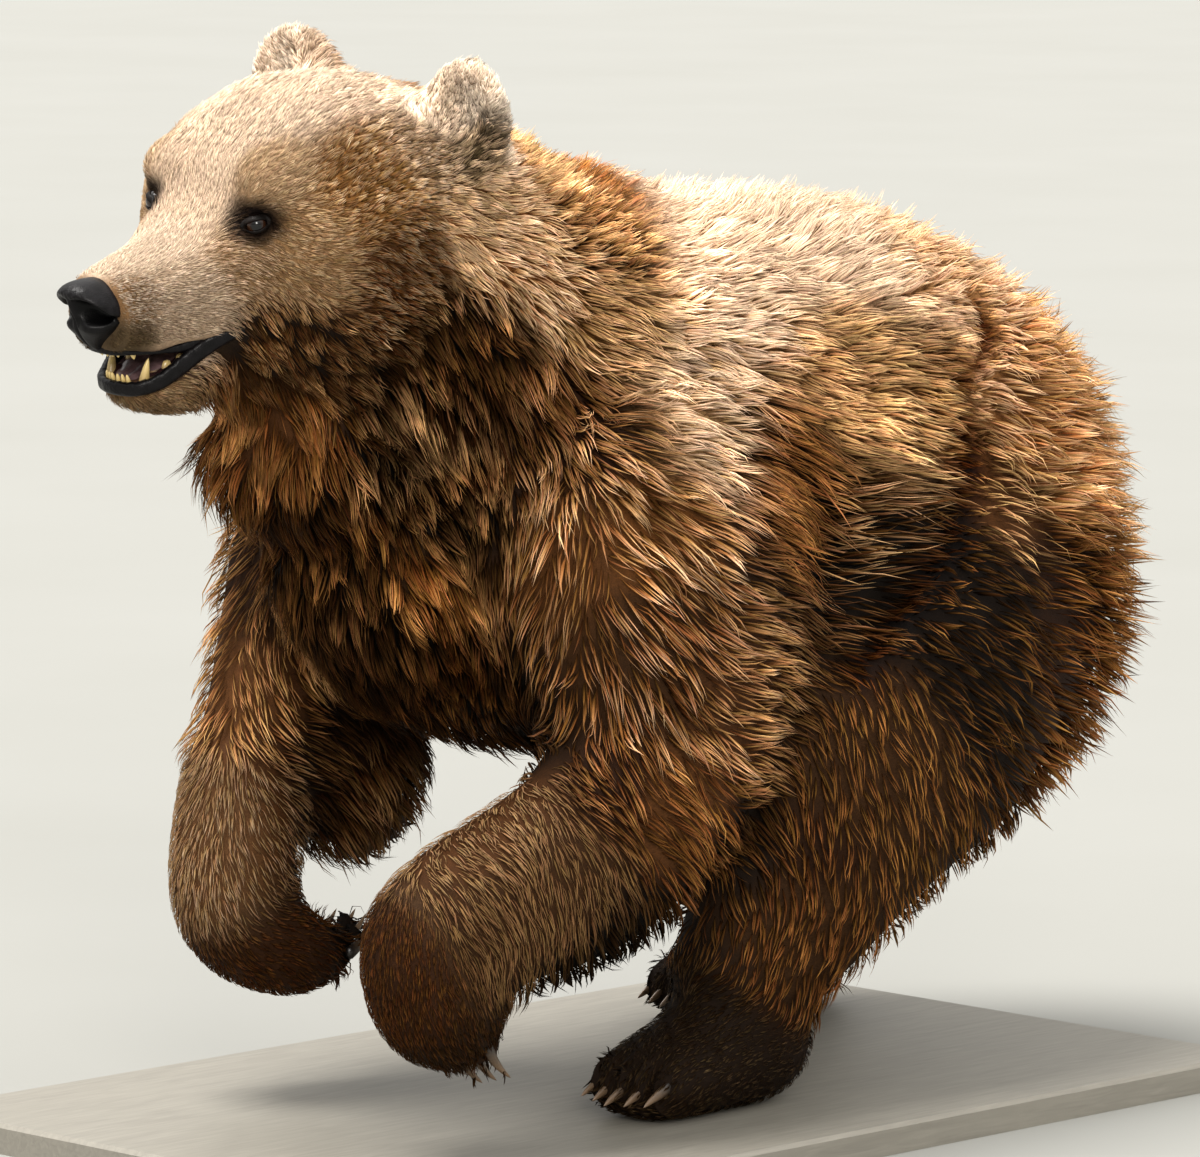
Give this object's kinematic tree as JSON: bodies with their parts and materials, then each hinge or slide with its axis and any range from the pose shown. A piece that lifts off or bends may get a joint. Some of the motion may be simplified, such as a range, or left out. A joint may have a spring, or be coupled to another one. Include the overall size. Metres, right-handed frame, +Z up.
{
  "type": "brown bear",
  "caption": "Life-size still model of a running brown bear with a long shaggy coat and a slightly open mouth, on a flat base it stands on.",
  "frame": {"origin": "centre of the underside of the stand's base", "axes": "-Y is the way the bear runs and looks, +X is its left side, +Z is up"},
  "size_m": [0.74, 1.3848, 1.0965],
  "materials": {
    "blond_coat": "blond to beige bear coat on the head and ears, short on the muzzle and long on the cheeks",
    "brown_coat": "brown bear coat in long damp locks, dark at the root and straw at the tip",
    "dark_coat": "short dark brown coat of the paws with near black claws",
    "nose_skin": "moist black nose skin with a fine grain",
    "eye_gloss": "glossy dark brown eye",
    "painted_board": "plain board with a matt stone grey paint"
  },
  "bodies": {
    "root": {"head": "blond_coat", "left_ear": "blond_coat", "right_ear": "blond_coat", "lower_jaw": "blond_coat", "nose_pad": "nose_skin", "left_eye": "eye_gloss", "right_eye": "eye_gloss", "neck": "brown_coat", "trunk": "brown_coat", "tail": "brown_coat", "left_foreleg": "brown_coat", "right_foreleg": "brown_coat", "left_hindleg": "brown_coat", "right_hindleg": "brown_coat", "left_forepaw": "dark_coat", "right_forepaw": "dark_coat", "left_hindpaw": "dark_coat", "right_hindpaw": "dark_coat", "stand_base": "painted_board"}
  },
  "joints": []
}
